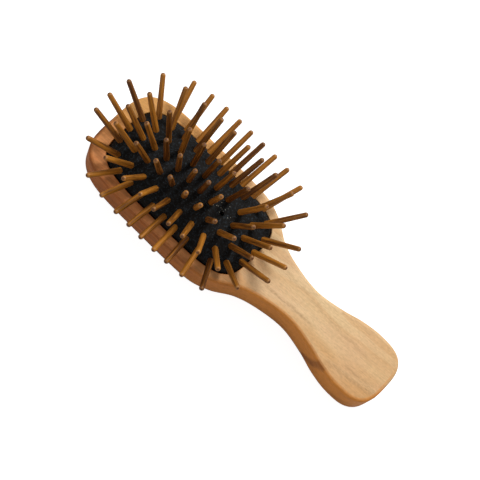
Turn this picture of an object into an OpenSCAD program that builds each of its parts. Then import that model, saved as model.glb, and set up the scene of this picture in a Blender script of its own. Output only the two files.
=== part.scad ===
// Small pin brush lying on its back, pins up.
// The frame's origin is on the resting face, straight below the middle of the cushion.
// +X runs along the handle, +Y to one side and +Z out of the pin side.
// All lengths are in millimetres and all angles in degrees.

/* [Body] */
// Length of the wooden body, from head tip to handle end
body_l = 140.5; // [134:0.5:150]
// Distance from the cushion's middle to the head tip
head_reach = 39.5; // [38.5:0.5:42]
// Width of the head
head_w = 42.4; // [41.4:0.2:46]
// Thickness of the wood
body_t = 18.5; // [16.5:0.5:22]
// Width of the neck, the handle's narrowest place
neck_w = 16; // [14:0.5:18.5]
// Width of the flare near the handle's end
flare_w = 26.6; // [23:0.1:29]
// Length of the rounded end of the handle, past the flare
tail_l = 13.4; // [12:0.2:15]
// Distance from the cushion's middle to the widest place of the head, toward the head tip
head_mid_l = 7.3; // [6.5:0.1:9]
// Radius of the rounded edge round the pin side
top_r = 1.5; // [0.8:0.1:1.8]
// How far the back edge is rounded in from the side
back_in = 5.5; // [3.5:0.5:6]
// How far up the side the back edge is rounded
back_h = 7.5; // [5:0.5:8]

/* [Pocket] */
// Length of the pocket that holds the cushion
pocket_l = 66.8; // [66:0.2:68]
// Width of the pocket
pocket_w = 33.6; // [33:0.2:34.2]
// Depth of the pocket
pocket_depth = 8.5; // [7:0.5:10]
// How far the retaining groove is cut into the pocket wall
groove_in = 1.1; // [0.8:0.1:1.3]
// Depth of the groove's upper edge below the pin side
groove_top = 2.4; // [2:0.1:3]
// Height of the groove
groove_h = 1.8; // [1.2:0.1:2.2]

/* [Cushion] */
// Slit between the cushion and the mouth of the pocket
cushion_gap = 0.45; // [0.3:0.05:0.6]
// Thickness of the rubber
rubber_t = 1.4; // [1:0.1:1.6]
// Height of the dome above its own edge
dome_h = 9.6; // [8.5:0.1:11]
// Depth of the dome's edge below the pin side
edge_drop = 0.7; // [0.4:0.1:1]
// Diameter of the vent hole
vent_d = 1.7; // [1.2:0.1:2]

/* [Pins] */
// Length of a pin outside the rubber
pin_l = 17; // [14:0.1:19]
// Diameter of a pin where it passes through the rubber
pin_d = 2.3; // [2:0.05:2.4]
// Diameter of a pin just below its rounded tip
tip_d = 1.95; // [1.6:0.05:2]
// Diameter of the head inside the rubber
pin_head_d = 2.9; // [2.7:0.05:3]
// Thickness of that head
pin_head_t = 1.2; // [1:0.1:1.5]
// Distance from the end pins of the middle row to the pocket's wall
pin_inset_l = 1.8; // [1.6:0.1:2.4]
// Distance from the outermost rows to the pocket's wall
pin_inset_w = 2; // [1.8:0.1:2.4]
// How much closer the pins stand in the middle of a row than at its ends
crowding = 0.02; // [0:0.01:0.06]
// How far the outermost rows bow inward at their ends
row_bow_w = 0.8; // [0.4:0.1:1]
// Shift of the whole pin field toward the handle
field_shift = 0.4; // [0.2:0.1:0.5]
// Chance lean of each pin away from the rule
pin_stray = 1.2; // [0:0.2:1.4]
// Length of a pin's straight seat above the rubber
seat_l = 1; // [0.6:0.1:1.6]
// Distance from the rubber's inside to a pin's head
head_clear = 1; // [0.8:0.1:1.4]
// Chamfer on the lower edge of a pin's head
head_chamfer = 0.2; // [0.1:0.05:0.4]

/* [Hidden] */
$fn = 48;

// Outline of the body: superelliptic ends joined by two smooth flanks.
head_x = -head_mid_l;
head_power = 3.9;
tail_end = body_l - head_reach;
flare_x = tail_end - tail_l;
tail_power = 3.05;
neck_x = 0.672 * flare_x;
// Flank shapes as [fraction of the way, fraction of the width change].
shoulder_curve =
    [[0, 1], [0.276, 0.993], [0.453, 0.932], [0.572, 0.714], [0.69, 0.338], [0.823, 0.12], [1, 0]];
flare_curve = [[0, 0], [0.382, 0.323], [0.694, 0.788], [1, 1]];
end_steps = 12;
flank_steps = 26;
edge_steps = 5;
// The back edge is rounded less at the flare, by this factor.
flare_back = 0.66;

// Superelliptic pocket and cushion.
pad_power = 4.2;
pad_steps = 56;
dome_steps = 10;
dome_power = 2.3;
dome_root = 0.45;
pad_l = pocket_l - 2 * cushion_gap;
pad_w = pocket_w - 2 * cushion_gap;
edge_z = body_t - edge_drop;
groove_z1 = body_t - groove_top;
groove_z0 = groove_z1 - groove_h;
bead_l = pocket_l + 2 * groove_in;
bead_w = pocket_w + 2 * groove_in;

// Seven rows of pins: number, half-length, distance from the middle row and bow at the ends.
field_l = pocket_l / 2 - pin_inset_l;
field_w = pocket_w / 2 - pin_inset_w;
row_number = [12, 11, 10, 9];
row_half_l = [field_l, 0.98 * field_l, 0.875 * field_l, 0.73 * field_l];
row_y = [0, 0.365 * field_w, 0.716 * field_w, field_w];
row_bow = [0, 0.7 * row_bow_w, 0, -row_bow_w];
vent_place = 8;
// Lean of the pins along and across the pad. Each list is a cubic in the share of the way from the middle to
// the edge, lowest power first. The even powers make the pins lean a little to one side, as they do when used.
lean_along = [0.06, 0.32, -0.195, 1.1];
lean_across = [-0.1, 0.37, 0.34, 2.16];
// Extra lean across the pad toward its two ends.
lean_skew = 0.17;
// A pin's head sits this far below the outside of the rubber, and its bore is cut this long.
head_depth = rubber_t + head_clear;
bore_l = head_depth + 2 * seat_l;
tip_steps = 6;

// Smooth curve through points [t, v], level at both ends.
function slope(c, i) =
    i == 0 || i == len(c) - 1 ? 0 : (c[i + 1][1] - c[i - 1][1]) / (c[i + 1][0] - c[i - 1][0]);
function span_of(c, t, i = 0) = i >= len(c) - 2 || t < c[i + 1][0] ? i : span_of(c, t, i + 1);
function smooth_in(c, t, i) =
    let (w = c[i + 1][0] - c[i][0], u = (t - c[i][0]) / w)
    c[i][1] * (1 + 2 * u) * pow(1 - u, 2) + slope(c, i) * w * u * pow(1 - u, 2)
    + c[i + 1][1] * u * u * (3 - 2 * u) + slope(c, i + 1) * w * u * u * (u - 1);
function smooth_curve(c, t) = smooth_in(c, t, span_of(c, t));

// Half-width of the body between the two ends.
function flank(x) =
    x < neck_x
    ? neck_w / 2 + (head_w - neck_w) / 2 * smooth_curve(shoulder_curve, (x - head_x) / (neck_x - head_x))
    : neck_w / 2 + (flare_w - neck_w) / 2 * smooth_curve(flare_curve, (x - neck_x) / (flare_x - neck_x));

// Point of a superellipse with half-axes a and b at parameter angle q.
function super_point(a, b, p, q) =
    [a * sign(cos(q)) * pow(abs(cos(q)), 2 / p), b * sign(sin(q)) * pow(abs(sin(q)), 2 / p)];

// One side of the body's outline, from head tip to handle end.
side_points = concat(
    [for (i = [0:end_steps - 1])
        [head_x, 0] + super_point(head_x + head_reach, head_w / 2, head_power, 180 - 90 * i / end_steps)],
    [for (i = [0:flank_steps])
        let (x = head_x + (flare_x - head_x) * i / flank_steps) [x, flank(x)]],
    [for (i = [1:end_steps])
        [flare_x, 0] + super_point(tail_end - flare_x, flare_w / 2, tail_power, 90 - 90 * i / end_steps)]);
side_n = len(side_points);
// The whole outline, counter-clockwise from the head tip.
outline = concat(
    [for (i = [0:side_n - 2]) [side_points[i][0], -side_points[i][1]]],
    [for (i = [side_n - 1:-1:1]) side_points[i]]);
outline_n = len(outline);

// Direction square to the outline at point i, pointing inward.
function inward(i) =
    let (d = outline[(i + 1) % outline_n] - outline[(i + outline_n - 1) % outline_n])
    [-d[1], d[0]] / norm(d);

// How strongly the back edge is rounded at x.
function back_share(x) =
    let (t = (x - neck_x) / (flare_x - neck_x))
    1 - (1 - flare_back) * smooth_curve([[0, 0], [1, 1]], max(0, min(1, t)));

// Levels of the body from the pin side down, as [inset at the back edge, inset at the top edge, height].
body_levels = concat(
    [for (i = [edge_steps:-1:0])
        let (q = 90 * i / edge_steps) [0, top_r * (1 - cos(q)), body_t - top_r + top_r * sin(q)]],
    [for (i = [edge_steps + 1:-1:0])
        let (q = 90 * i / (edge_steps + 1)) [back_in * (1 - sin(q)), 0, back_h * (1 - cos(q))]]);

// Superelliptic ring of length l and width w at height z, counter-clockwise from the side of the head tip.
function pad_ring(l, w, z) =
    [for (i = [0:pad_steps - 1])
        let (p = super_point(l / 2, w / 2, pad_power, 180 + 360 * i / pad_steps)) [p[0], p[1], z]];

// Faces between rings of n points each that follow one another, the first of them at point number start.
function bands(n, start, count) =
    [for (k = [0:count - 2]) for (i = [0:n - 1])
        let (a = start + k * n + i, b = start + k * n + (i + 1) % n)
        each [[a, b, b + n], [a, b + n, a + n]]];

// Flat face over the first ring of a skin, of n points and bulging all round.
function first_cap(n) = [for (i = [n - 1:-1:0]) i];

// Faces across a ring of n points from one flank to the other, from point i0 to the handle's end.
function rungs(n, start, i0) =
    [for (i = [i0:n / 2 - 1])
        let (a = start + i, b = start + n - i)
        each concat(i + 1 < n / 2 ? [[a, a + 1, b - 1]] : [], i > 0 ? [[a, b - 1, b]] : [])];

// One-piece wooden body: oval head, neck and flared handle, with the pocket and its undercut groove.
// Its skin runs from the pocket's floor up the wall, over the flat pin side and down to the back.
module body() {
    walls = [
        pad_ring(pocket_l, pocket_w, body_t - pocket_depth),
        pad_ring(pocket_l, pocket_w, groove_z0),
        pad_ring(bead_l, bead_w, groove_z0),
        pad_ring(bead_l, bead_w, groove_z1),
        pad_ring(pocket_l, pocket_w, groove_z1),
        pad_ring(pocket_l, pocket_w, body_t)];
    flanks = [for (level = body_levels)
        [for (i = [0:outline_n - 1])
            let (
                inset = level[0] * back_share(outline[i][0]) + level[1],
                p = outline[i] + inset * inward(i)
            ) [p[0], p[1], level[2]]]];
    mouth = (len(walls) - 1) * pad_steps;
    brim = len(walls) * pad_steps;
    back = brim + (len(flanks) - 1) * outline_n;
    half = pad_steps / 2;
    // The flat pin side: a band from the pocket's mouth to the head's outline, and rungs across the handle.
    pin_side = concat(
        [for (i = [0:pad_steps - 1])
            let (
                skip = i < half ? 0 : outline_n - pad_steps,
                a = mouth + i,
                b = mouth + (i + 1) % pad_steps,
                c = brim + (i + 1 + skip) % outline_n,
                d = brim + i + skip)
            each [[a, b, c], [a, c, d]]],
        [[mouth + half, brim + outline_n - half, brim + half]],
        [for (f = rungs(outline_n, brim, half)) [f[2], f[1], f[0]]]);
    color([0.80, 0.62, 0.40])
        polyhedron(
            [for (r = concat(walls, flanks)) each r],
            concat(
                [first_cap(pad_steps)],
                bands(pad_steps, 0, len(walls)),
                pin_side,
                bands(outline_n, brim, len(flanks)),
                rungs(outline_n, back, 0)),
            convexity = 8);
}

// Place on the pad as a fraction of the way from its middle to its edge.
function pad_share(x, y) =
    pow(pow(abs(2 * x / pad_l), pad_power) + pow(abs(2 * y / pad_w), pad_power), 1 / pad_power);

// Height of the dome's outside at that fraction.
function dome_z(share, h) = edge_z + h * pow(1 - pow(min(share, 1), dome_power), dome_root);

// Rings from the top of the dome down its outside, round the bead and back up its inside.
inner_l = pad_l - 2 * rubber_t;
inner_w = pad_w - 2 * rubber_t;
cushion_rings = concat(
    [for (k = [dome_steps - 0.4, each [dome_steps - 1:-1:0]])
        let (f = cos(90 * k / dome_steps)) pad_ring(pad_l * f, pad_w * f, dome_z(f, dome_h))],
    [pad_ring(pad_l, pad_w, groove_z1),
        pad_ring(bead_l, bead_w, groove_z1),
        pad_ring(bead_l, bead_w, groove_z0),
        pad_ring(inner_l, inner_w, groove_z0)],
    [for (k = [each [0:dome_steps - 1], dome_steps - 0.4])
        let (f = cos(90 * k / dome_steps)) pad_ring(inner_l * f, inner_w * f, dome_z(f, dome_h - rubber_t))]);

// Place of pin k in row r, where r runs from -3 to 3 and row 0 is the middle one.
function pin_xy(r, k) =
    let (
        i = abs(r),
        u = 2 * k / (row_number[i] - 1) - 1,
        x = field_shift + row_half_l[i] * u * (1 - crowding * (1 - u * u)),
        y = row_y[i] + row_bow[i] * pow(u, 4)
    ) [x, r < 0 ? -y : y];

function cubic(c, t) = c[0] + c[1] * t + c[2] * t * t + c[3] * pow(t, 3);

// Direction of the pin that stands at xy, as [slope in x, slope in y, 1], with a little chance lean.
function pin_slope(xy, chance) =
    let (u = 2 * xy[0] / pad_l, v = 2 * xy[1] / pad_w)
    [cubic(lean_along, u) + tan(pin_stray) * cos(chance),
        cubic(lean_across, v) + lean_skew * u * u + tan(pin_stray) * sin(chance),
        1];

// Puts its children on the cushion where pin k of row r stands, with the pin's axis as +Z.
module at_pin(r, k) {
    xy = pin_xy(r, k);
    s = pin_slope(xy, 137.5 * (k + 13 * r));
    translate([xy[0], xy[1], dome_z(pad_share(xy[0], xy[1]), dome_h)])
        rotate([0, acos(1 / norm(s)), atan2(s[1], s[0])])
            children();
}

// Numbers of the pins that stand in row r. The middle row leaves out the vent's place.
function pins_of(r) = [for (k = [0:row_number[abs(r)] - 1]) if (r != 0 || k != vent_place) k];

// Domed rubber membrane with its bead, a tight hole for every pin and the vent hole.
module cushion() {
    color([0.09, 0.09, 0.10])
    difference() {
        polyhedron(
            [for (r = cushion_rings) each r],
            concat(
                [first_cap(pad_steps)],
                bands(pad_steps, 0, len(cushion_rings)),
                rungs(pad_steps, (len(cushion_rings) - 1) * pad_steps, 0)),
            convexity = 8);
        for (r = [-3:3])
            for (k = pins_of(r))
                at_pin(r, k)
                    translate([0, 0, -head_depth])
                        cylinder(h = bore_l, d = pin_d);
        at_pin(0, vent_place)
            translate([0, 0, -head_depth])
                cylinder(h = bore_l, d = vent_d);
    }
}

// Turned wooden pin: head inside the rubber, straight seat in its hole, tapered shank and rounded tip.
module pin() {
    tip_r = tip_d / 2;
    rotate_extrude()
        polygon(concat(
            [[0, -head_depth - pin_head_t],
                [pin_head_d / 2 - head_chamfer, -head_depth - pin_head_t],
                [pin_head_d / 2, -head_depth - pin_head_t + head_chamfer],
                [pin_head_d / 2, -head_depth],
                [pin_d / 2, -head_depth],
                [pin_d / 2, seat_l]],
            [for (i = [0:tip_steps - 1])
                let (q = 90 * i / tip_steps) [tip_r * cos(q), pin_l - tip_r + tip_r * sin(q)]],
            [[0, pin_l]]));
}

// All the pins of row r, each a separate piece.
module pin_row(r) {
    color([0.60, 0.40, 0.17])
        for (k = pins_of(r))
            at_pin(r, k)
                pin();
}

module pins_row_1() { pin_row(-3); }
module pins_row_2() { pin_row(-2); }
module pins_row_3() { pin_row(-1); }
module pins_row_4() { pin_row(0); }
module pins_row_5() { pin_row(1); }
module pins_row_6() { pin_row(2); }
module pins_row_7() { pin_row(3); }

body();
cushion();
pins_row_1();
pins_row_2();
pins_row_3();
pins_row_4();
pins_row_5();
pins_row_6();
pins_row_7();
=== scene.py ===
"""Looks of a small wooden pin brush: oiled body, rubber cushion, turned pins and a studio stage."""

import math
import random

import bmesh
import bpy
from mathutils import Matrix, Vector


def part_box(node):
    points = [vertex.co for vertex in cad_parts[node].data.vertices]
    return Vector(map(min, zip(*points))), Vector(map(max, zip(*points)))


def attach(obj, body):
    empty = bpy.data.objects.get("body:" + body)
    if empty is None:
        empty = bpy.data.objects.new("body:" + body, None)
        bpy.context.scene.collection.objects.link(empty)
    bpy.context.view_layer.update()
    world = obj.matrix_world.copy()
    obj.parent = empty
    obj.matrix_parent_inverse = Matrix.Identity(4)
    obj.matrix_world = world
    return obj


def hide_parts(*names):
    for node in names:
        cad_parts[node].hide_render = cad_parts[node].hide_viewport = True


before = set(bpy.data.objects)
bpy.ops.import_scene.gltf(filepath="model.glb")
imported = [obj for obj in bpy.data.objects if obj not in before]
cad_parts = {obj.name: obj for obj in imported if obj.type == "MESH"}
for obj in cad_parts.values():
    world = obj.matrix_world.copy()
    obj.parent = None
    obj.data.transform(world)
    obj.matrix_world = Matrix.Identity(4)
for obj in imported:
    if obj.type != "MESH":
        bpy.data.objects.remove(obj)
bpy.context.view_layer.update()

bl_info = {
    "name": "Pin Brush",
    "version": (1, 0, 0),
    "blender": (4, 5, 0),
    "location": "View3D > Sidebar > Pin Brush",
    "description": "Makes a wooden pin brush with a rubber cushion, and a studio stage for it",
    "category": "Object",
}

MM = 0.001
BODY_LOW, BODY_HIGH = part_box("body")
# Flanks of the body, as (share of the way along, share of the change in width).
SHOULDER = ((0, 1), (0.276, 0.993), (0.453, 0.932), (0.572, 0.714), (0.69, 0.338), (0.823, 0.12), (1, 0))
FLARE = ((0, 0), (0.382, 0.323), (0.694, 0.788), (1, 1))
# Middle of the head, run from the flare to the handle's end, the neck as a share of the way to the flare,
# and how square the two ends are.
HEAD_X, FLARE_TO_END, NECK_SHARE = -7.3, 13.4, 0.672
HEAD_POWER, TAIL_POWER = 3.9, 3.05
# The back's rounded edge: its height, how far it runs in, and how much less of that there is at the flare.
BACK_RISE, BACK_IN, BACK_LESS = 7.5, 5.5, 0.34
# Middle of the side's height, and how far in the flat starts beyond a rounded edge.
SIDE_MIDDLE, FLAT_MARGIN = 12, 0.3
# Pocket with its undercut groove, and the rubber, a gap clear of the wall. Heights are from the back.
POCKET_L, POCKET_W, PAD_POWER = 66.8, 33.6, 4.2
POCKET_FLOOR, GROOVE_LOW, GROOVE_HIGH, GROOVE_IN = 10, 14.3, 16.1, 1.1
PAD_GAP = 0.45
PAD_L, PAD_W = POCKET_L - 2 * PAD_GAP, POCKET_W - 2 * PAD_GAP
SKIRT_Z, EDGE_Z, DOME_H = 17.2, 17.8, 9.6
# Powers of the dome's curve: how flat its top is and how steep its edge.
DOME_TOP, DOME_FALL = 2.3, 0.45
# Grid that the dome is made from, along and across, and how its lines crowd toward the edge.
DOME_GRID, GRID_CROWD = (200, 104), 1.2
# Room round a pin in its bore, how far out the bore's edge is drawn in, and width of the lip round it.
BORE_SLACK, BORE_DRAW, LIP_WIDTH = 0.03, 0.6, 0.45
# Rows of pins from the middle one outward: number of places, half-length, distance and bow in millimetres.
PIN_ROWS = ((12, 31.6, 0, 0), (11, 30.968, 5.402, 0.56), (10, 27.65, 10.597, 0), (9, 23.068, 14.8, -0.8))
VENT_PLACE = 8
# All pins together stand a little toward the handle, closer at the ends of a row, and stray by a small angle.
PIN_SHIFT, PIN_CROWD, PIN_STRAY = 0.4, 0.02, 1.2
# Turn of the stray from pin to pin, in degrees, and how many turns a row is ahead of the next.
STRAY_TURN, ROW_TURNS = 137.5, 13
# Head of a pin inside the rubber: radius, and height above the pin's foot.
PIN_HEAD = ((1.25, -3.6), (1.45, -3.4), (1.45, -2.4))
# Lean of the pins along and across the pad: cubics in the share of the way to the edge, lowest power first.
LEAN_ALONG, LEAN_ACROSS, LEAN_SKEW = (0.06, 0.32, -0.195, 1.1), (-0.1, 0.37, 0.34, 2.16), 0.17
# Veins in the wood: start, run, rise per run, half-width and strength, in millimetres.
VEINS = (
    ((42.0, -5.0), 24, 0.075, 1.0, 0.4),
    ((78.0, -9.4), 24, 0.165, 1.7, 0.3),
    ((84.0, -5.6), 16, 0.12, 1.4, 0.22),
    ((58.0, 3.4), 34, -0.03, 1.6, 0.16),
    ((38.0, 4.0), 26, 0.02, 1.8, 0.16),
)
# Dark streak on the lower side of the handle: a place on it, and its rise per run.
STREAK_X, STREAK_Z, STREAK_RISE = 73.5, 9, 1.5
# How far the box of a finished piece may lie off its node's box, in metres.
BOX_SLACK = 0.0004


def linear(hex_code):
    """Linear RGBA of an sRGB colour written as six hex digits."""
    parts = (int(hex_code[i : i + 2], 16) / 255 for i in (0, 2, 4))
    return tuple(c / 12.92 if c <= 0.04045 else ((c + 0.055) / 1.055) ** 2.4 for c in parts) + (1.0,)


def colour(name, hex_code, description):
    """A colour property that opens with the given sRGB colour."""
    return bpy.props.FloatVectorProperty(
        name=name, description=description, subtype="COLOR", size=4, min=0, max=1, default=linear(hex_code)
    )


def size(name, millimetres, description):
    """A length property in metres that opens with a size in millimetres."""
    return bpy.props.FloatProperty(
        name=name, description=description, default=millimetres * MM, min=0, unit="LENGTH", precision=5
    )


class PinBrushShape(bpy.types.PropertyGroup):
    """Sizes that are finer than the solids, and those that the smooth meshes share with them."""

    neck_width: size("Neck Width", 16, "Width of the handle at its narrowest place")
    flare_width: size("Flare Width", 26.6, "Width of the handle at its flare")
    edge_radius: size("Edge Radius", 1.5, "Rounding of the edge round the pin side")
    mouth_chamfer: size("Mouth Chamfer", 0.25, "Small broken edge round the mouth of the pocket")
    rubber_thickness: size("Rubber Thickness", 1.4, "Thickness of the domed rubber")
    lip_height: size("Lip Height", 0.22, "How far the rubber is pushed up round each pin")
    vent_diameter: size("Vent Diameter", 1.7, "Diameter of the vent hole")
    pin_diameter: size("Pin Diameter", 2.3, "Diameter of a pin at its foot")
    tip_diameter: size("Tip Diameter", 1.95, "Diameter of a pin below its rounded tip")
    pin_length: size("Pin Length", 17, "Length of a pin above the rubber")


class PinBrushWood(bpy.types.PropertyGroup):
    """Colours and grain of the body's wood."""

    pale: colour("Pale Wood", "ebc896", "Early wood on the planed pin side")
    warm: colour("Warm Wood", "cf9350", "Late wood between the pale bands")
    vein: colour("Vein", "94683f", "Brown veins that wander along the grain")
    blush: colour("Blush", "e6b791", "Pinkish patches in the pale wood")
    head: colour("Head Wood", "f0b062", "Heartwood on the upper side of the head")
    heart: colour("Heartwood", "f0a25e", "Redder heartwood at the head tip")
    # Painted shade and reflection of the pins over the heartwood on the lower side of the head.
    shaded_heart: colour("Deep Heartwood", "e2955a", "Deepest heartwood, on the lower side of the head")
    flank: colour("Flank", "e89440", "Shaped sides, where the cut grain drinks the oil")
    # Also the colour of the painted pin shadows on the lower rim of the head.
    head_flank: colour("Head Flank", "bb6c32", "Sides of the head")
    # Also painted shade, low on the sides and on the head's rounded edge.
    flank_dark_and_shade: colour("Dark Flank", "8a4c20", "Dark streaks on the sides")
    ring_spacing: size("Ring Spacing", 1.9, "Distance between growth rings")
    fibre_width: size("Fibre Width", 0.4, "Width of the fine fibres")


class PinBrushRubber(bpy.types.PropertyGroup):
    """Colours of the cushion."""

    black: colour("Black", "0a0806", "Carbon-black rubber")
    bloom: colour("Bloom", "1f1b18", "Faint grey bloom on the moulded surface")
    dust: colour("Dust", "4f5d68", "Fine dust in the grain")
    speck: colour("Speck", "8f8c80", "Dried specks of glue beside the vent")


class PinBrushPins(bpy.types.PropertyGroup):
    """Colours of the pins."""

    amber: colour("Amber", "bd7a27", "Light fibres of the heat-treated wood")
    brown: colour("Brown", "5c3208", "Dark fibres of the heat-treated wood")
    # Painted highlight: the paler ring round the tip.
    tip_highlight: colour("End Grain", "c08c54", "Polished end grain round the tip")
    # Painted shade: the dark mark in the lathe's dimple on the tip.
    tip_dimple_shade: colour("End Mark", "5c3016", "Small mark that the lathe leaves on the tip")


class PinBrushStage(bpy.types.PropertyGroup):
    """Camera and light."""

    camera_place: bpy.props.FloatVectorProperty(
        name="Camera Place",
        description="Where the camera stands",
        subtype="XYZ",
        unit="LENGTH",
        default=(0.0471, -0.1694, 0.5010),
    )
    camera_turn: bpy.props.FloatVectorProperty(
        name="Camera Turn",
        description="Turn of the camera about X, Y and Z",
        subtype="EULER",
        default=tuple(math.radians(a) for a in (15.656, -11.860, 43.493)),
    )
    focal_length: bpy.props.FloatProperty(
        name="Focal Length",
        description="Focal length in millimetres on a 36 mm sensor",
        default=104.9,
        min=10,
    )
    key_power: bpy.props.FloatProperty(
        name="Key Power", description="Power of the large soft lamp", default=6.3, min=0, unit="POWER"
    )
    sky_strength: bpy.props.FloatProperty(
        name="Sky Strength", description="Strength of the even white surroundings", default=0.26, min=0
    )
    floor: colour("Floor", "cfcfcf", "Pale floor under the brush")
    floor_glow: bpy.props.FloatProperty(
        name="Floor Glow", description="Glow that makes the floor white to the camera", default=0.84, min=0
    )


def clear_selection():
    """Leaves object mode with nothing selected."""
    if bpy.context.object and bpy.context.object.mode != "OBJECT":
        bpy.ops.object.mode_set(mode="OBJECT")
    bpy.ops.object.select_all(action="DESELECT")


def take(obj):
    """Selects one object alone and makes it active."""
    clear_selection()
    obj.select_set(True)
    bpy.context.view_layer.objects.active = obj
    return obj


def hand_over(obj, node):
    """Puts a finished piece in the place of a node of the frame, after a look at its box."""
    low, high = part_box(node)
    for axis in range(3):
        places = [v.co[axis] for v in obj.data.vertices]
        off = max(abs(min(places) - low[axis]), abs(max(places) - high[axis]))
        if off > BOX_SLACK:
            raise RuntimeError(f"{obj.name} is {off / MM:.2f} mm off {node} along axis {axis}")
    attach(obj, "root")
    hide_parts(node)


# Forms of the brush, in millimetres.


def superellipse(a, b, power, turn):
    """Point at a turn in radians on a superellipse with half-axes a and b."""
    c, s = math.cos(turn), math.sin(turn)
    return (
        math.copysign(a * abs(c) ** (2 / power), c),
        math.copysign(b * abs(s) ** (2 / power), s),
    )


def smooth_curve(knots, t):
    """Height at t of a smooth curve through the knots, level at both ends."""
    slopes = [0.0] + [(c[1] - a[1]) / (c[0] - a[0]) for a, c in zip(knots, knots[2:])] + [0.0]
    i = max(k for k in range(len(knots) - 1) if k == 0 or knots[k][0] <= t)
    (t0, v0), (t1, v1) = knots[i], knots[i + 1]
    w, u = t1 - t0, (t - t0) / (t1 - t0)
    return (
        v0 * (1 + 2 * u) * (1 - u) ** 2
        + slopes[i] * w * u * (1 - u) ** 2
        + v1 * u * u * (3 - 2 * u)
        + slopes[i + 1] * w * u * u * (u - 1)
    )


def evenly(points, count):
    """Points at even steps along a line of points, with both ends kept."""
    run = [0.0]
    for a, b in zip(points, points[1:]):
        run.append(run[-1] + math.dist(a, b))
    spaced, k = [], 0
    for i in range(count + 1):
        s = run[-1] * i / count
        while k < len(points) - 2 and run[k + 1] < s:
            k += 1
        u = (s - run[k]) / (run[k + 1] - run[k])
        spaced.append(tuple(a + (b - a) * u for a, b in zip(points[k], points[k + 1])))
    return spaced


class Outline:
    """Outline of the body, counter-clockwise from the head tip."""

    def __init__(self, shape, count):
        head_reach, tail_end = -BODY_LOW.x / MM, BODY_HIGH.x / MM
        half_head = BODY_HIGH.y / MM
        half_neck, half_flare = shape.neck_width / MM / 2, shape.flare_width / MM / 2
        self.flare_x = tail_end - FLARE_TO_END
        self.neck_x = NECK_SHARE * self.flare_x

        def flank(x):
            if x < self.neck_x:
                t = (x - HEAD_X) / (self.neck_x - HEAD_X)
                return half_neck + (half_head - half_neck) * smooth_curve(SHOULDER, t)
            t = (x - self.neck_x) / (self.flare_x - self.neck_x)
            return half_neck + (half_flare - half_neck) * smooth_curve(FLARE, t)

        side = []
        for i in range(300):
            x, y = superellipse(head_reach + HEAD_X, half_head, HEAD_POWER, math.pi * (1 - i / 600))
            side.append((HEAD_X + x, abs(y)))
        for i in range(300):
            x = HEAD_X + (self.flare_x - HEAD_X) * i / 300
            side.append((x, flank(x)))
        for i in range(301):
            x, y = superellipse(FLARE_TO_END, half_flare, TAIL_POWER, math.pi / 2 * (1 - i / 300))
            side.append((self.flare_x + x, abs(y)))
        side = evenly(side, count // 2)
        side[0], side[-1] = (side[0][0], 0.0), (side[-1][0], 0.0)
        self.points = [Vector((x, -y)) for x, y in side[:-1]] + [Vector(p) for p in side[:0:-1]]
        self.inward = []
        for i in range(count):
            d = self.points[(i + 1) % count] - self.points[i - 1]
            self.inward.append(Vector((-d.y, d.x)).normalized())

    def ring(self, inset, z, back_inset=0.0):
        """The outline at height z, moved inward. The back edge is rounded less toward the flare."""
        ring = []
        for p, n in zip(self.points, self.inward):
            t = min(max((p.x - self.neck_x) / (self.flare_x - self.neck_x), 0), 1)
            q = p + n * (inset + back_inset * (1 - BACK_LESS * t * t * (3 - 2 * t)))
            ring.append((q.x, q.y, z))
        return ring


def pocket_ring(grow, z, count=168):
    """Superelliptic ring of the pocket at height z, grown outward, at even steps."""
    fine = [
        superellipse(POCKET_L / 2 + grow, POCKET_W / 2 + grow, PAD_POWER, math.pi + 2 * math.pi * i / 1440)
        for i in range(1441)
    ]
    return [(x, y, z) for x, y in evenly(fine, count)[:-1]]


def pad_share(x, y):
    """How far a place is from the middle of the cushion, as a share of the way to its edge."""
    return (abs(2 * x / PAD_L) ** PAD_POWER + abs(2 * y / PAD_W) ** PAD_POWER) ** (1 / PAD_POWER)


def dome_z(share):
    """Height of the rubber's outside."""
    return EDGE_Z + DOME_H * (1 - min(share, 1.0) ** DOME_TOP) ** DOME_FALL


def pin_stand(row, place):
    """Foot and direction of a pin, for rows -3 to 3."""
    number, half, distance, bow = PIN_ROWS[abs(row)]
    u = 2 * place / (number - 1) - 1
    x = PIN_SHIFT + half * u * (1 - PIN_CROWD * (1 - u * u))
    y = (distance + bow * u**4) * (-1 if row < 0 else 1)
    chance = math.radians(STRAY_TURN * (place + ROW_TURNS * row))
    stray = math.tan(math.radians(PIN_STRAY))
    a, b = 2 * x / PAD_L, 2 * y / PAD_W
    along = sum(c * a**n for n, c in enumerate(LEAN_ALONG))
    across = sum(c * b**n for n, c in enumerate(LEAN_ACROSS)) + LEAN_SKEW * a * a
    lean = Vector((along + stray * math.cos(chance), across + stray * math.sin(chance), 1.0))
    return Vector((x, y, dome_z(pad_share(x, y)))), lean.normalized()


def row_stands(row):
    """Feet and directions of the pins of a row. The vent takes one place of the middle row."""
    places = range(PIN_ROWS[abs(row)][0])
    return [pin_stand(row, k) for k in places if row or k != VENT_PLACE]


# Rings of vertices that are drawn out one from the other in edit mode.


def lay_ring(points, number=False):
    """Lays the selected ring onto points in millimetres, matched by the station of each vertex.

    A new circle is numbered by its turns, because its vertices can be stored in another order.
    """
    mesh = bpy.context.edit_object.data
    edit = bmesh.from_edit_mesh(mesh)
    station = edit.verts.layers.int.get("station") or edit.verts.layers.int.new("station")
    chosen = [v for v in edit.verts if v.select]
    if number:
        chosen.sort(key=lambda v: math.atan2(v.co.y, v.co.x))
    if len(chosen) != len(points):
        raise RuntimeError(f"a ring of {len(points)} points got {len(chosen)} vertices")
    for k, v in enumerate(chosen):
        if number:
            v[station] = k
        v.co = Vector(points[v[station]]) * MM
    bmesh.update_edit_mesh(mesh)


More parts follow.
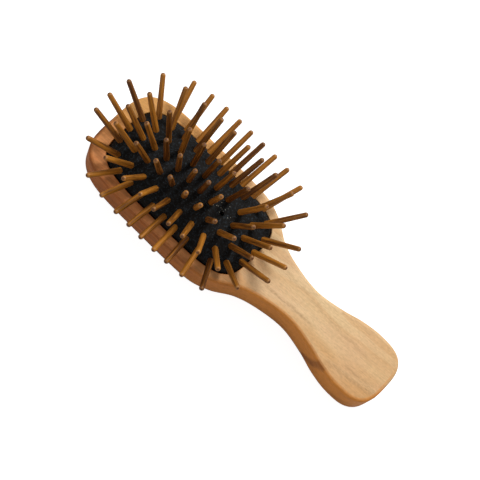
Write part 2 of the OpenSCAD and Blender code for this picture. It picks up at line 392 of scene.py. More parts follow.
def draw_rings(rings):
    """Starts a ring in edit mode and extrudes it through all the others, the last left selected."""
    bpy.ops.mesh.select_all(action="DESELECT")
    bpy.ops.mesh.primitive_circle_add(vertices=len(rings[0]), radius=0.01)
    lay_ring(rings[0], number=True)
    for ring in rings[1:]:
        bpy.ops.mesh.extrude_region()
        lay_ring(ring)


def new_object(name):
    """An empty mesh object, active and in edit mode."""
    clear_selection()
    bpy.ops.mesh.primitive_circle_add(vertices=3, radius=0.001)
    obj = bpy.context.object
    obj.name = obj.data.name = name
    bpy.ops.object.mode_set(mode="EDIT")
    bpy.ops.mesh.select_mode(type="VERT")
    bpy.ops.mesh.select_all(action="SELECT")
    bpy.ops.mesh.delete(type="VERT")
    return obj


def close_piece(obj, angle=35):
    """Turns all faces outward, leaves edit mode and smooths what isn't an edge."""
    bpy.ops.mesh.select_all(action="SELECT")
    bpy.ops.mesh.normals_make_consistent(inside=False)
    bpy.ops.object.mode_set(mode="OBJECT")
    if "station" in obj.data.attributes:
        obj.data.attributes.remove(obj.data.attributes["station"])
    bpy.ops.object.shade_smooth_by_angle(angle=math.radians(angle))


# Materials. Every pattern is laid out in millimetres on the piece.

SOFT_STEP = {"interpolation_type": "SMOOTHSTEP"}
IN_COLOUR = {"data_type": "RGBA"}
TO_MM = (1 / MM, 1 / MM, 1 / MM)
# Grain of the wood: whether it follows the board or the log, its length, width and height in millimetres,
# detail and roughness. Real pores are finer, and are drawn as coarse as they need to be to show.
WOOD_GRAIN = {
    "wander": ("log", 45.45, 20, 20, 2.0, 0.5),
    "cloud": ("board", 25, 10, 10, 3.0, 0.5),
    "wobble": ("log", 11.11, 33.33, 11.11, 3.0, 0.5),
    "fleck": ("log", 1.25, 0.5882, 0.5882, 3.0, 0.6),
    "pore": ("log", 1.6667, 0.27778, 0.27778, 1.0, 0.5),
    "streak": ("log", 50, 3.3333, 3.3333, 3.0, 0.55),
    # Places of the painted pin shadows on the lower rim.
    "pin_shadow_patch": ("log", 7.692, 3.3333, 3.3333, 2.0, 0.5),
    "patch": ("log", 20, 7.143, 7.143, 3.0, 0.6),
}
# Thickness of a fibre over its length.
FIBRE_SLIMNESS = 0.07


def add(tree, kind, sockets=None, out=0, **settings):
    """Adds a shader node with its settings and returns one of its outputs.

    A socket gets a value, or a link if it is given an output.
    """
    node = tree.nodes.new("ShaderNode" + kind)
    for name, value in settings.items():
        setattr(node, name, value)
    for key, value in (sockets or {}).items():
        if isinstance(value, bpy.types.NodeSocket):
            tree.links.new(value, node.inputs[key])
        else:
            node.inputs[key].default_value = value
    return node.outputs[out] if len(node.outputs) else None


def empty_material(name):
    """A new material and its cleared node tree."""
    material = bpy.data.materials.new(name)
    material.use_nodes = True
    material.node_tree.nodes.clear()
    return material, material.node_tree


def surface(tree, tint, rough, height, relief, shine):
    """The shader of a piece, with bump of the given relief in millimetres."""
    bump = add(tree, "Bump", {"Height": height, "Strength": 1.0, "Distance": relief * MM})
    sockets = {"Base Color": tint, "Roughness": rough, "Normal": bump, "IOR": 1.5}
    shader = add(tree, "BsdfPrincipled", {**sockets, "Specular IOR Level": shine})
    add(tree, "OutputMaterial", {"Surface": shader})


def oiled_olive_wood(wood):
    """Olive wood, planed on the pin side, milled and sanded round the sides, then oiled.

    The eye sees pale tan wood with a fine mottled grain and a few brown veins along the handle, redder
    heartwood toward the head, and orange-brown sides, because the oil darkens fibres that are cut across.
    Shade is painted into the colour as well: low on the sides, along the rounded edges, as patches of the
    pins' shadows on the lower rim, over the lower side of the head, and as the deeper orange of the lower
    side.
    """
    material, tree = empty_material("oiled_olive_wood")
    mm = add(tree, "VectorMath", {0: add(tree, "TexCoord", out="Object"), 1: TO_MM}, operation="MULTIPLY")
    x, y, z = add(tree, "SeparateXYZ", {0: mm}).node.outputs
    # The board is cut four degrees off the length of the log.
    log = add(tree, "Mapping", {"Vector": mm, "Rotation": (0, 0.02, -0.07)})
    follows = {"board": mm, "log": log}
    # Fibres run along the handle, about six millimetres long. Short dark pores lie among them.
    thick = wood.fibre_width / MM
    fibres = {"fibre": ("log", thick / FIBRE_SLIMNESS, thick, thick, 3.0, 0.65)}
    grain = {}
    for name, (base, long, wide, high, detail, roughness) in {**WOOD_GRAIN, **fibres}.items():
        sockets = {0: follows[base], 1: (1 / long, 1 / wide, 1 / high)}
        laid = add(tree, "VectorMath", sockets, operation="MULTIPLY")
        sockets = {"Vector": laid, "Scale": 1.0, "Detail": detail, "Roughness": roughness}
        grain[name] = add(tree, "TexNoise", sockets)
    fibre, fleck = grain["fibre"], grain["fleck"]
    cloud = add(tree, "MapRange", {0: grain["cloud"], 1: 0.36, 2: 0.68}, **SOFT_STEP)
    pore = add(tree, "MapRange", {0: grain["pore"], 1: 0.60, 2: 0.74}, **SOFT_STEP)
    wobble = add(tree, "Math", {0: grain["wobble"], 1: 0.5}, operation="SUBTRACT")
    # Growth rings round a pith that lies below and beside the handle, ring_spacing apart.
    pith = add(tree, "VectorMath", {0: log, 1: (0.0, 1, 1)}, operation="MULTIPLY")
    pith = add(tree, "VectorMath", {0: pith, 1: (0, 30, 34)})
    radius = add(tree, "VectorMath", {0: pith}, out="Value", operation="LENGTH")
    radius = add(tree, "Math", {0: grain["wander"], 1: 7.0, 2: radius}, operation="MULTIPLY_ADD")
    rings = add(tree, "Math", {0: radius, 1: wood.ring_spacing / MM}, operation="DIVIDE")
    sockets = {"W": rings, "Scale": 1.0, "Detail": 1.5, "Roughness": 0.6}
    rings = add(tree, "TexNoise", sockets, noise_dimensions="1D")
    band = add(tree, "MapRange", {0: rings, 1: 0.34, 2: 0.68}, **SOFT_STEP)
    share = add(tree, "Math", {0: band, 1: 0.3}, operation="MULTIPLY")
    tint = add(tree, "Mix", {0: share, 6: wood.pale, 7: wood.warm}, 2, **IN_COLOUR)
    share = add(tree, "Math", {0: cloud, 1: 0.3}, operation="MULTIPLY")
    tint = add(tree, "Mix", {0: share, 6: tint, 7: wood.blush}, 2, **IN_COLOUR)
    # The side of the handle that lies lower in the picture is a little warmer, and so is its end.
    low = add(tree, "Math", {0: cloud, 1: 5.0, 2: y}, operation="MULTIPLY_ADD")
    low = add(tree, "MapRange", {0: low, 1: 0.0, 2: -14.0, 3: 0.0, 4: 0.6}, **SOFT_STEP)
    tail = add(tree, "MapRange", {0: x, 1: 55.0, 2: 100.0, 3: 0.0, 4: 0.3}, **SOFT_STEP)
    share = add(tree, "Math", {0: low, 1: tail}, operation="ADD")
    tint = add(tree, "Mix", {0: share, 6: tint, 7: wood.warm}, 2, **IN_COLOUR)
    # Brown veins in the planed side, broken up by the flecks.
    broken = add(tree, "MapRange", {0: fleck, 1: 0.3, 2: 0.6, 3: 0.45, 4: 1.0}, **SOFT_STEP)
    for start, run, rise, half, strength in VEINS:
        off = add(tree, "Math", {0: y, 1: start[1] - rise * start[0]}, operation="SUBTRACT")
        off = add(tree, "Math", {0: x, 1: -rise, 2: off}, operation="MULTIPLY_ADD")
        off = add(tree, "Math", {0: wobble, 1: 1.5, 2: off}, operation="MULTIPLY_ADD")
        off = add(tree, "Math", {0: off}, operation="ABSOLUTE")
        line = add(tree, "MapRange", {0: off, 1: 0.0, 2: half, 3: strength, 4: 0.0}, **SOFT_STEP)
        ends = add(tree, "Math", {0: x, 1: start[0] + run / 2}, operation="SUBTRACT")
        ends = add(tree, "Math", {0: ends}, operation="ABSOLUTE")
        ends = add(tree, "MapRange", {0: ends, 1: run * 0.3, 2: run * 0.6, 3: 1.0, 4: 0.0}, **SOFT_STEP)
        line = add(tree, "Math", {0: line, 1: ends}, operation="MULTIPLY")
        line = add(tree, "Math", {0: line, 1: broken}, operation="MULTIPLY")
        tint = add(tree, "Mix", {0: line, 6: tint, 7: wood.vein}, 2, **IN_COLOUR)
    # Heartwood from the neck to the head tip. Along the lower side of the head it turns darker and redder,
    # which is painted shade and painted reflection of the pins over the heartwood.
    depth = add(tree, "Math", {0: cloud, 1: 4.0, 2: y}, operation="MULTIPLY_ADD")
    share = add(tree, "MapRange", {0: depth, 1: 9.0, 2: -2.0}, **SOFT_STEP)
    heart = add(tree, "Mix", {0: share, 6: wood.head, 7: wood.heart}, 2, **IN_COLOUR)
    share = add(tree, "MapRange", {0: depth, 1: -3.0, 2: -17.0}, **SOFT_STEP)
    heart = add(tree, "Mix", {0: share, 6: heart, 7: wood.shaded_heart}, 2, **IN_COLOUR)
    # Painted shade: light and dark patches, about eight millimetres long, on the planed rim of the lower
    # side, the dark ones in the head's side colour standing for the pins' shadows.
    pin_shadow_patch = add(tree, "MapRange", {0: grain["pin_shadow_patch"], 1: 0.42, 2: 0.62, 3: 0.0, 4: 0.5}, **SOFT_STEP)
    rim = add(tree, "MapRange", {0: y, 1: -8.0, 2: -15.0}, **SOFT_STEP)
    share = add(tree, "Math", {0: pin_shadow_patch, 1: rim}, operation="MULTIPLY")
    heart = add(tree, "Mix", {0: share, 6: heart, 7: wood.head_flank}, 2, **IN_COLOUR)
    red = add(tree, "Math", {0: cloud, 1: 10.0, 2: x}, operation="MULTIPLY_ADD")
    red = add(tree, "Math", {0: y, 1: 0.35, 2: red}, operation="MULTIPLY_ADD")
    red = add(tree, "MapRange", {0: red, 1: 48.0, 2: -2.0, 3: 0.0, 4: 0.96}, **SOFT_STEP)
    tint = add(tree, "Mix", {0: red, 6: tint, 7: heart}, 2, **IN_COLOUR)
    # The sides, darker in patches, and darker toward the back as painted shade.
    flank = add(tree, "Mix", {0: red, 6: wood.flank, 7: wood.head_flank}, 2, **IN_COLOUR)
    patch = add(tree, "MapRange", {0: grain["patch"], 1: 0.45, 2: 0.75, 3: 0.0, 4: 0.8}, **SOFT_STEP)
    back = add(tree, "MapRange", {0: z, 1: 14.0, 2: 1.0, 3: 0.0, 4: 0.7}, **SOFT_STEP)
    dark = add(tree, "Math", {0: patch, 1: back}, operation="ADD")
    # A dark streak climbs the lower side where the flare swells out of the neck.
    off = add(tree, "Math", {0: z, 1: STREAK_RISE * STREAK_X - STREAK_Z}, operation="ADD")
    off = add(tree, "Math", {0: x, 1: -STREAK_RISE, 2: off}, operation="MULTIPLY_ADD")
    off = add(tree, "Math", {0: wobble, 1: 12.0, 2: off}, operation="MULTIPLY_ADD")
    off = add(tree, "Math", {0: off}, operation="ABSOLUTE")
    off = add(tree, "MapRange", {0: off, 1: 1.0, 2: 5.5, 3: 0.6, 4: 0.0}, **SOFT_STEP)
    near_side = add(tree, "MapRange", {0: y, 1: -2.0, 2: -6.0}, **SOFT_STEP)
    spot = add(tree, "Math", {0: off, 1: near_side}, operation="MULTIPLY")
    dark = add(tree, "Math", {0: dark, 1: 0.55, 2: spot}, operation="MULTIPLY_ADD")
    # Painted shade: round the head the rounded edge, turned from the light, is darker than the planed rim
    # beside it.
    up = add(tree, "SeparateXYZ", {0: add(tree, "NewGeometry", out="Normal")}).node.outputs[2]
    below = add(tree, "MapRange", {0: up, 1: 0.2, 2: 0.5}, **SOFT_STEP)
    above = add(tree, "MapRange", {0: up, 1: 0.98, 2: 0.88}, **SOFT_STEP)
    edge = add(tree, "Math", {0: below, 1: above}, operation="MULTIPLY")
    edge = add(tree, "Math", {0: edge, 1: red}, operation="MULTIPLY")
    dark = add(tree, "Math", {0: edge, 1: 0.35, 2: dark}, operation="MULTIPLY_ADD")
    flank = add(tree, "Mix", {0: dark, 6: flank, 7: wood.flank_dark_and_shade}, 2, **IN_COLOUR)
    # Painted shade: the sides' deeper colour stays full only on the lower side, away from the light; on the
    # far side and the far half of the handle's end it is drawn halfway to the planed side's tone.
    share = add(tree, "MapRange", {0: y, 1: -3.0, 2: 9.0, 3: 0.0, 4: 0.5}, **SOFT_STEP)
    flank = add(tree, "Mix", {0: share, 6: flank, 7: tint}, 2, **IN_COLOUR)
    # A thin line of painted shade, in the sides' colour, where the rounding starts.
    line = add(tree, "MapRange", {0: up, 1: 0.9995, 2: 0.985}, **SOFT_STEP)
    share = add(tree, "MapRange", {0: y, 1: 9.0, 2: 3.0, 3: 0.0, 4: 0.5}, **SOFT_STEP)
    line = add(tree, "Math", {0: line, 1: share}, operation="MULTIPLY")
    share = add(tree, "MapRange", {0: up, 1: 0.86, 2: 0.96}, **SOFT_STEP)
    line = add(tree, "Math", {0: line, 1: share}, operation="MULTIPLY")
    tint = add(tree, "Mix", {0: line, 6: tint, 7: flank}, 2, **IN_COLOUR)
    # Painted shade: the lower side, away from the light, takes the sides' colour up to the edge; the other
    # side stays pale over its rounding.
    first = add(tree, "MapRange", {0: y, 1: 5.0, 2: -5.0, 3: 0.72, 4: 0.99}, **SOFT_STEP)
    last = add(tree, "MapRange", {0: y, 1: 5.0, 2: -5.0, 3: 0.1, 4: 0.78}, **SOFT_STEP)
    share = add(tree, "MapRange", {0: up, 1: first, 2: last}, **SOFT_STEP)
    tint = add(tree, "Mix", {0: share, 6: tint, 7: flank}, 2, **IN_COLOUR)
    # Light and dark along the fibres, flecks and pores. The heartwood's grain stands out more.
    shade = add(tree, "MapRange", {0: fibre, 1: 0.25, 2: 0.75, 3: 1.06, 4: 0.92}, **SOFT_STEP)
    mottle = add(tree, "MapRange", {0: fleck, 1: 0.3, 2: 0.7, 3: 0.06, 4: -0.07}, **SOFT_STEP)
    shade = add(tree, "Math", {0: shade, 1: mottle}, operation="ADD")
    shade = add(tree, "Math", {0: pore, 1: -0.1, 2: shade}, operation="MULTIPLY_ADD")
    coarse = add(tree, "MapRange", {0: grain["streak"], 1: 0.38, 2: 0.62, 3: 0.13, 4: -0.17}, **SOFT_STEP)
    coarse = add(tree, "Math", {0: red, 1: coarse}, operation="MULTIPLY")
    shade = add(tree, "Math", {0: shade, 1: coarse}, operation="ADD")
    tint = add(tree, "VectorMath", {0: tint, "Scale": shade}, operation="SCALE")
    rough = add(tree, "MapRange", {0: fibre, 1: 0.3, 2: 0.7, 3: 0.46, 4: 0.6}, **SOFT_STEP)
    height = add(tree, "Math", {0: pore, 1: -1.2, 2: fibre}, operation="MULTIPLY_ADD")
    surface(tree, tint, rough, height, relief=0.03, shine=0.25)
    return material


def moulded_rubber(rubber):
    """Natural rubber filled with carbon black, press-moulded against a blasted mould.

    The eye sees a matt, nearly black skin with a fine grain and a faint grey bloom, and a few dried
    specks of glue beside the vent.
    """
    material, tree = empty_material("moulded_rubber")
    mm = add(tree, "VectorMath", {0: add(tree, "TexCoord", out="Object"), 1: TO_MM}, operation="MULTIPLY")
    # Grain of the blasted mould, half a millimetre, and haze in patches of about eight millimetres.
    grain = add(tree, "TexNoise", {"Vector": mm, "Scale": 1 / 0.5263, "Detail": 4.0, "Roughness": 0.75})
    haze = add(tree, "TexNoise", {"Vector": mm, "Scale": 1 / 7.692, "Detail": 3.0, "Roughness": 0.5})
    haze = add(tree, "MapRange", {0: haze, 1: 0.35, 2: 0.7}, **SOFT_STEP)
    bloom = add(tree, "MapRange", {0: grain, 1: 0.42, 2: 0.72, 3: 0.0, 4: 0.6}, **SOFT_STEP)
    bloom = add(tree, "Math", {0: haze, 1: 0.35, 2: bloom}, operation="MULTIPLY_ADD")
    tint = add(tree, "Mix", {0: bloom, 6: rubber.black, 7: rubber.bloom}, 2, **IN_COLOUR)
    # Dust is finer in truth, and is drawn at two thirds of a millimetre so that it shows.
    dust = add(tree, "TexNoise", {"Vector": mm, "Scale": 1 / 0.66667, "Detail": 4.0, "Roughness": 0.8})
    dust = add(tree, "MapRange", {0: dust, 1: 0.5, 2: 0.7}, **SOFT_STEP)
    dust = add(tree, "Math", {0: dust, 1: 0.48}, operation="MULTIPLY")
    tint = add(tree, "Mix", {0: dust, 6: tint, 7: rubber.dust}, 2, **IN_COLOUR)
    # Specks of glue, 0.2 to 0.5 mm, thin out within 5 mm of the vent.
    foot, _ = pin_stand(0, VENT_PLACE)
    beside = {0: mm, 1: (foot.x - 1.2, foot.y + 0.6, foot.z)}
    away = add(tree, "VectorMath", beside, out="Value", operation="DISTANCE")
    near = add(tree, "MapRange", {0: away, 1: 1.2, 2: 5.0, 3: 0.75, 4: 0.0}, **SOFT_STEP)
    dot = add(tree, "TexVoronoi", {"Vector": mm, "Scale": 1 / 0.76923}).node.outputs
    pick = add(tree, "SeparateXYZ", {0: dot["Color"]}).node.outputs[0]
    pick = add(tree, "Math", {0: pick, 1: near}, operation="LESS_THAN")
    speck = add(tree, "MapRange", {0: dot["Distance"], 1: 0.15, 2: 0.26, 3: 1.0, 4: 0.0}, **SOFT_STEP)
    speck = add(tree, "Math", {0: speck, 1: pick}, operation="MULTIPLY")
    tint = add(tree, "Mix", {0: speck, 6: tint, 7: rubber.speck}, 2, **IN_COLOUR)
    rough = add(tree, "MapRange", {0: grain, 1: 0.3, 2: 0.7, 3: 0.68, 4: 0.85}, **SOFT_STEP)
    surface(tree, tint, rough, grain, relief=0.12, shine=0.14)
    return material


def heat_treated_maple(pins, tip_run):
    """Maple turned into thin pins, browned right through by heat, tumbled and waxed.

    The eye sees amber-brown pins with fibres that run along each one, each a little lighter or darker than
    its neighbour. The rounded tip has a paler ring, a painted highlight, and a small dark mark, painted shade
    of the dimple that the lathe leaves.
    """
    material, tree = empty_material("heat_treated_maple")
    # The piece's own map holds millimetres round the pin and along it. Each pin has its own tone.
    way = add(tree, "UVMap", uv_map="turned")
    along = add(tree, "SeparateXYZ", {0: way}).node.outputs[1]
    tone = add(tree, "Attribute", attribute_name="tone", out="Fac")
    # Fibres 0.6 mm wide and 10 mm long.
    fibre = add(tree, "VectorMath", {0: way, 1: (1 / 0.5882, 1 / 10, 0)}, operation="MULTIPLY")
    round_pin, run, _ = add(tree, "SeparateXYZ", {0: fibre}).node.outputs
    own = add(tree, "Math", {0: tone, 1: 50.0}, operation="MULTIPLY")
    fibre = add(tree, "CombineXYZ", {0: round_pin, 1: run, 2: own})
    fibre = add(tree, "TexNoise", {"Vector": fibre, "Scale": 1.0, "Detail": 4.0, "Roughness": 0.65})
    share = add(tree, "Math", {0: tone, 1: 0.3, 2: fibre}, operation="MULTIPLY_ADD")
    share = add(tree, "MapRange", {0: share, 1: 0.42, 2: 0.86}, **SOFT_STEP)
    tint = add(tree, "Mix", {0: share, 6: pins.amber, 7: pins.brown}, 2, **IN_COLOUR)
    # Painted light on the tip, a paler ring for its highlight and a dark mark for the shade in the lathe's
    # dimple: where they start and are full before the tip, strength and colour.
    for start, full, strength, shown in ((1.35, 0.85, 0.28, pins.tip_highlight), (0.75, 0.3, 0.8, pins.tip_dimple_shade)):
        share = {0: along, 1: tip_run - start, 2: tip_run - full, 3: 0.0, 4: strength}
        share = add(tree, "MapRange", share, **SOFT_STEP)
        tint = add(tree, "Mix", {0: share, 6: tint, 7: shown}, 2, **IN_COLOUR)
    rough = add(tree, "MapRange", {0: fibre, 1: 0.3, 2: 0.7, 3: 0.36, 4: 0.52}, **SOFT_STEP)
    surface(tree, tint, rough, fibre, relief=0.03, shine=0.4)
    return material


# Pieces.


class PINBRUSH_OT_wooden_body(bpy.types.Operator):
    """Make the one-piece wooden body with its pocket"""

    bl_idname = "pin_brush.wooden_body"
    bl_label = "Wooden Body"

    def execute(self, context):
        shape, wood = context.scene.pin_brush_shape, context.scene.pin_brush_wood
        top, edge = BODY_HIGH.z / MM, shape.edge_radius / MM
        outline = Outline(shape, 360)
        obj = new_object("wooden_body")
        # From a narrow flat margin over the rounded edge, down the side and round the back edge.
        rings = [outline.ring(edge + FLAT_MARGIN, top)]
        for i in range(9):
            q = math.pi / 2 * i / 8
            rings.append(outline.ring(edge * (1 - math.sin(q)), top - edge + edge * math.cos(q)))
        rings.append(outline.ring(0, SIDE_MIDDLE))
        for i in range(13):
            q = math.pi / 2 * i / 12
            rings.append(outline.ring(0, BACK_RISE - BACK_RISE * math.sin(q), BACK_IN * (1 - math.cos(q))))
        rings.append(outline.ring(FLAT_MARGIN, 0, BACK_IN))
        draw_rings(rings)
        bpy.ops.mesh.fill(use_beauty=True)
        # The pocket: margin, broken edge, wall with its undercut groove, and floor.
        chamfer = shape.mouth_chamfer / MM
        draw_rings(
            [pocket_ring(chamfer + FLAT_MARGIN, top)]
            + [
                pocket_ring(chamfer * (1 - math.sin(q)), top - chamfer * (1 - math.cos(q)))
                for q in (0, math.pi / 6, math.pi / 3, math.pi / 2)
            ]
            + [
                pocket_ring(0, GROOVE_HIGH),
                pocket_ring(GROOVE_IN, GROOVE_HIGH),
                pocket_ring(GROOVE_IN, GROOVE_LOW),
                pocket_ring(0, GROOVE_LOW),
                pocket_ring(0, POCKET_FLOOR),
            ]
        )
        bpy.ops.mesh.edge_face_add()
        # The planed pin side between the two open rings.
        bpy.ops.mesh.select_all(action="DESELECT")
        bpy.ops.mesh.select_non_manifold(
            extend=False, use_wire=False, use_multi_face=False, use_non_contiguous=False, use_verts=False
        )
        bpy.ops.mesh.fill(use_beauty=True)
        close_piece(obj)
        obj.data.materials.append(oiled_olive_wood(wood))
        hand_over(obj, "body")
        return {"FINISHED"}


class PINBRUSH_OT_rubber_cushion(bpy.types.Operator):
    """Make the domed rubber cushion with its bores and vent"""

    bl_idname = "pin_brush.rubber_cushion"
    bl_label = "Rubber Cushion"

    def execute(self, context):
        shape, rubber = context.scene.pin_brush_shape, context.scene.pin_brush_rubber
        bore = shape.pin_diameter / MM / 2 + BORE_SLACK
        bores = [(f, d, bore) for r in range(-3, 4) for f, d in row_stands(r)]
        bores.append((*pin_stand(0, VENT_PLACE), shape.vent_diameter / MM / 2))
        clear_selection()
        bpy.ops.mesh.primitive_grid_add(x_subdivisions=DOME_GRID[0], y_subdivisions=DOME_GRID[1], size=2)
        obj = bpy.context.object
        obj.name = obj.data.name = "rubber_cushion"
        for v in obj.data.vertices:
            v.co = self.dome_point(v.co.x, v.co.y)
        bpy.ops.object.mode_set(mode="EDIT")
        bpy.ops.mesh.select_mode(type="FACE")
        edit = bmesh.from_edit_mesh(obj.data)
        # Each bore is cut out, its edge is drawn onto the round of the pin, and a lip stands up round it.
        near = {b: [] for b in range(len(bores))}
        for v in edit.verts:
            for b, (foot, axis, r) in enumerate(bores):
                if (v.co.xy / MM - foot.xy).length < 5:
                    near[b].append(v)
        for f in edit.faces:
            c = f.calc_center_median() / MM
            f.select = any(
                (c.xy - foot.xy).length < 4 and self.off_axis(c, foot, axis) < r for foot, axis, r in bores
            )
        cut = {v for f in edit.faces if f.select for v in f.verts}
        bmesh.update_edit_mesh(obj.data)
        bpy.ops.mesh.delete(type="FACE")
        edit = bmesh.from_edit_mesh(obj.data)
        for b, (foot, axis, r) in enumerate(bores):
            for v in near[b]:
                if not v.is_valid:
                    continue
                if v in cut and self.off_axis(v.co / MM, foot, axis) < r + BORE_DRAW:
                    v.co = self.onto_bore(v.co / MM, foot, axis, r) * MM
        lip = shape.lip_height / MM
        for b, (foot, axis, r) in enumerate(bores[:-1]):
            for v in near[b]:
                if v.is_valid:
                    d = self.off_axis(v.co / MM, foot, axis) - r
                    v.co += axis * (lip * math.exp(-((d / LIP_WIDTH) ** 2)) * MM)
        bmesh.update_edit_mesh(obj.data)
        # The skirt runs down into the pocket.
        bpy.ops.mesh.select_mode(type="EDGE")
        edit = bmesh.from_edit_mesh(obj.data)
        for e in edit.edges:
            e.select = e.is_boundary and all(
                pad_share(v.co.x / MM, v.co.y / MM) > 0.999 for v in e.verts
            )
        edit.select_flush(True)
        bmesh.update_edit_mesh(obj.data)
        for z in (SKIRT_Z, GROOVE_HIGH, GROOVE_LOW):
            bpy.ops.mesh.extrude_region()
            edit = bmesh.from_edit_mesh(obj.data)
            for v in edit.verts:
                if v.select:
                    v.co.z = z * MM
            bmesh.update_edit_mesh(obj.data)
        bpy.ops.object.mode_set(mode="OBJECT")
        # The wall, and the bead that sits in the groove.
        wall = obj.modifiers.new("wall", "SOLIDIFY")
        wall.thickness, wall.offset = shape.rubber_thickness, -1
        bpy.ops.object.modifier_apply(modifier="wall")
        bpy.ops.object.mode_set(mode="EDIT")
        bpy.ops.mesh.select_mode(type="FACE")
        edit = bmesh.from_edit_mesh(obj.data)
        for f in edit.faces:
            c = f.calc_center_median() / MM
            f.select = (
                GROOVE_LOW < c.z < GROOVE_HIGH
                and pad_share(c.x, c.y) > 0.99
                and f.normal.xy.dot(c.xy) > 0
                and abs(f.normal.z) < 0.2
            )
        bmesh.update_edit_mesh(obj.data)
        bpy.ops.mesh.extrude_region_shrink_fatten(
            TRANSFORM_OT_shrink_fatten={"value": (PAD_GAP + GROOVE_IN) * MM, "use_even_offset": True}
        )
        edit = bmesh.from_edit_mesh(obj.data)
        for v in edit.verts:
            if v.select:
                v.co.z = (GROOVE_HIGH if v.co.z > (GROOVE_HIGH + GROOVE_LOW) / 2 * MM else GROOVE_LOW) * MM
        bmesh.update_edit_mesh(obj.data)
        bpy.ops.object.mode_set(mode="OBJECT")
        bpy.ops.object.shade_smooth_by_angle(angle=math.radians(50))
        obj.data.materials.append(moulded_rubber(rubber))
        hand_over(obj, "cushion")
        return {"FINISHED"}

    @staticmethod
    def dome_point(u, v):
        """Place on the dome, in metres, of a place on the flat square from -1 to 1."""
        reach = max(abs(u), abs(v))
        if reach < 1e-9:
            return Vector((0, 0, dome_z(0) * MM))
        share = 1 - (1 - reach) ** GRID_CROWD
        q = (abs(u) ** PAD_POWER + abs(v) ** PAD_POWER) ** (1 / PAD_POWER)
        x, y = PAD_L / 2 * u * share / q, PAD_W / 2 * v * share / q
        return Vector((x, y, dome_z(share))) * MM

    @staticmethod
    def off_axis(p, foot, axis):
        """Distance from the line through foot along axis."""
        return (p - foot).cross(axis).length

    def onto_bore(self, p, foot, axis, r):
        """Moves a point of the dome along the dome until it lies on the bore's wall."""
        out = p.xy - foot.xy
        lo, hi = 0.0, 3.0
        for _ in range(24):
            mid = (lo + hi) / 2
            x, y = foot.xy + out.normalized() * mid
            q = Vector((x, y, dome_z(pad_share(x, y))))
            if self.off_axis(q, foot, axis) < r:
                lo = mid
            else:
                hi = mid
        return q


class PINBRUSH_OT_turned_pins(bpy.types.Operator):
    """Turn one pin and stand its copies in the seven rows"""

    bl_idname = "pin_brush.turned_pins"
    bl_label = "Turned Pins"

    def execute(self, context):
        shape, pins = context.scene.pin_brush_shape, context.scene.pin_brush_pins
        pin, run = self.turned_pin(shape)
        finish = heat_treated_maple(pins, run)
        chance = random.Random(7)
        for number, row in enumerate(range(-3, 4), 1):
            copies = []
            for foot, axis in row_stands(row):
                copy = pin.copy()
                copy.data = pin.data.copy()
                context.collection.objects.link(copy)
                turn = Matrix.Rotation(chance.uniform(0, 2 * math.pi), 4, "Z")
                lean = axis.to_track_quat("Z", "Y").to_matrix().to_4x4()
                copy.data.transform(Matrix.Translation(foot * MM) @ lean @ turn)
                tone = copy.data.attributes.new("tone", "FLOAT", "POINT")
                tone.data.foreach_set("value", [chance.random()] * len(copy.data.vertices))
                copies.append(copy)
            clear_selection()
            for copy in copies:
                copy.select_set(True)
            context.view_layer.objects.active = copies[0]
            bpy.ops.object.join()
            obj = context.object
            obj.name = obj.data.name = f"turned_pins_row_{number}"
            obj.data.materials.append(finish)
            hand_over(obj, f"pins_row_{number}")
        take(pin)
        bpy.ops.object.delete()
        return {"FINISHED"}

    @staticmethod
    def turned_pin(shape):
        """One pin along Z with its foot at the origin, and the length of its profile to the tip."""
        foot_r, tip_r = shape.pin_diameter / MM / 2, shape.tip_diameter / MM / 2
        length = shape.pin_length / MM
        profile = [*PIN_HEAD, (foot_r, PIN_HEAD[-1][1]), (foot_r, 1.0)]
        profile += [(foot_r + (tip_r - foot_r) * t, 1 + (length - tip_r - 1) * t) for t in (0.33, 0.67)]
        for i in range(7):
            q = math.pi / 2 * i / 7.5
            profile.append((tip_r * math.cos(q), length - tip_r + tip_r * math.sin(q)))
        sides = 20
        turns = [2 * math.pi * k / sides for k in range(sides)]
        obj = new_object("turned_pin")
        draw_rings([[(r * math.cos(q), r * math.sin(q), z) for q in turns] for r, z in profile])
        bpy.ops.mesh.extrude_region()
        bpy.ops.mesh.merge(type="CENTER")
        edit = bmesh.from_edit_mesh(obj.data)
        for v in edit.verts:
            if v.select:
                v.co = Vector((0, 0, length)) * MM
            elif abs(v.co.z - profile[0][1] * MM) < 1e-7:
                v.tag = True
        for v in edit.verts:
            v.select = v.tag
        edit.select_flush(True)
        bmesh.update_edit_mesh(obj.data)
        bpy.ops.mesh.edge_face_add()
        close_piece(obj, 50)
        # Millimetres round the pin and along its profile.
        along, run = [], 0.0
        for a, b in zip(profile, profile[1:] + [(0.0, length)]):
            along.append((a, run))
            run += math.dist(a, b)
        along.append(((0.0, length), run))
        lay = obj.data.uv_layers.new(name="turned")
        for face in obj.data.polygons:
            middle = math.atan2(face.center.y, face.center.x)
            for k in face.loop_indices:
                co = obj.data.vertices[obj.data.loops[k].vertex_index].co / MM
                at = min(along, key=lambda a: math.dist(a[0], (co.xy.length, co.z)))[1]
                turn = math.atan2(co.y, co.x) if co.xy.length > 1e-6 else middle
                turn += 2 * math.pi * round((middle - turn) / (2 * math.pi))
                lay.data[k].uv = (turn * foot_r, at)
        return obj, run


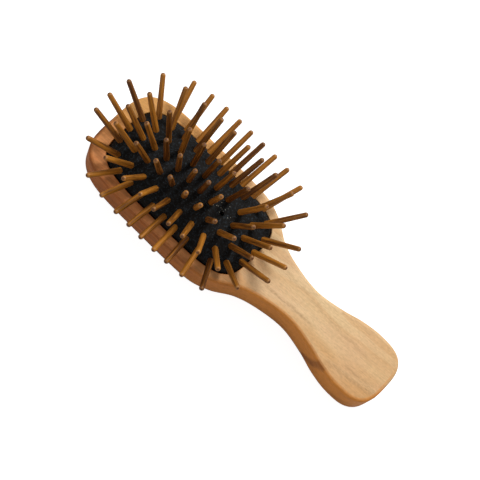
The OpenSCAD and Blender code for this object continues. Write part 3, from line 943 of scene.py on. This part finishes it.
class PINBRUSH_OT_stage(bpy.types.Operator):
    """Set the camera, the soft light and the pale floor"""

    bl_idname = "pin_brush.stage"
    bl_label = "Stage"

    def execute(self, context):
        stage = context.scene.pin_brush_stage
        clear_selection()
        bpy.ops.object.camera_add(location=stage.camera_place, rotation=stage.camera_turn)
        camera = context.object
        camera.data.sensor_width, camera.data.lens = 36, stage.focal_length
        context.scene.camera = camera
        # One large soft lamp over the far side, and a weak one near the camera for the small highlights.
        for name, place, width, power in (
            ("key", (0.08, 0.60, 0.68), 0.26, stage.key_power),
            ("fill", (-0.15, -0.55, 0.6), 0.5, 0.16 * stage.key_power),
        ):
            aim = (Vector((0.03, 0, 0.01)) - Vector(place)).to_track_quat("-Z", "Y").to_euler()
            bpy.ops.object.light_add(type="AREA", radius=1, location=place, rotation=aim)
            lamp = context.object
            lamp.name = lamp.data.name = name
            lamp.data.shape, lamp.data.size, lamp.data.energy = "SQUARE", width, power
        clear_selection()
        bpy.ops.mesh.primitive_plane_add(size=6, location=(0, 0, -0.00005))
        floor = context.object
        floor.name = floor.data.name = "floor"
        floor.data.materials.append(self.floor_paint(stage))
        self.surround(context, stage)
        context.scene.view_settings.view_transform = "Standard"
        return {"FINISHED"}

    @staticmethod
    def floor_paint(stage):
        """Matt pale card. To the camera it glows a little, so that it reads as white with a faint shadow."""
        material, tree = empty_material("pale_card")
        card = add(tree, "BsdfDiffuse", {"Color": stage.floor})
        seen = add(tree, "LightPath", out="Is Camera Ray")
        glow = add(tree, "Math", {0: seen, 1: stage.floor_glow}, operation="MULTIPLY")
        glow = add(tree, "Emission", {"Strength": glow})
        both = add(tree, "AddShader", {0: card, 1: glow})
        add(tree, "OutputMaterial", {"Surface": both})
        return material

    @staticmethod
    def surround(context, stage):
        """Even white surroundings, plain white where the camera sees them."""
        world = bpy.data.worlds.new("studio")
        world.use_nodes = True
        tree = world.node_tree
        tree.nodes.clear()
        ray = add(tree, "LightPath").node.outputs
        seen = {0: ray["Is Camera Ray"], 1: ray["Is Transmission Ray"]}
        seen = add(tree, "Math", seen, operation="MAXIMUM")
        light = add(tree, "Background", {"Color": (1, 1, 1, 1), "Strength": stage.sky_strength})
        white = add(tree, "Background", {"Color": (1, 1, 1, 1), "Strength": 1.0})
        mixed = add(tree, "MixShader", {0: seen, 1: light, 2: white})
        add(tree, "OutputWorld", {"Surface": mixed})
        context.scene.world = world


class PINBRUSH_PT_panel(bpy.types.Panel):
    """Lists the pieces and their settings"""

    bl_idname = "PINBRUSH_PT_panel"
    bl_label = "Pin Brush"
    bl_space_type = "VIEW_3D"
    bl_region_type = "UI"
    bl_category = "Pin Brush"

    def draw(self, context):
        for operator in OPERATORS:
            self.layout.operator(operator.bl_idname)
        for name, group in SETTINGS.items():
            box = self.layout.box()
            for prop in group.__annotations__:
                box.prop(getattr(context.scene, name), prop)


OPERATORS = (PINBRUSH_OT_stage, PINBRUSH_OT_wooden_body, PINBRUSH_OT_rubber_cushion, PINBRUSH_OT_turned_pins)
SETTINGS = {
    "pin_brush_shape": PinBrushShape,
    "pin_brush_wood": PinBrushWood,
    "pin_brush_rubber": PinBrushRubber,
    "pin_brush_pins": PinBrushPins,
    "pin_brush_stage": PinBrushStage,
}


def register():
    for cls in (*SETTINGS.values(), *OPERATORS, PINBRUSH_PT_panel):
        bpy.utils.register_class(cls)
    for name, group in SETTINGS.items():
        setattr(bpy.types.Scene, name, bpy.props.PointerProperty(type=group))


def unregister():
    for name in SETTINGS:
        delattr(bpy.types.Scene, name)
    for cls in reversed((*SETTINGS.values(), *OPERATORS, PINBRUSH_PT_panel)):
        bpy.utils.unregister_class(cls)


def main():
    """Makes every piece in turn."""
    register()
    bpy.ops.pin_brush.stage()
    bpy.ops.pin_brush.wooden_body()
    bpy.ops.pin_brush.rubber_cushion()
    bpy.ops.pin_brush.turned_pins()


if __name__ == "__main__":
    main()
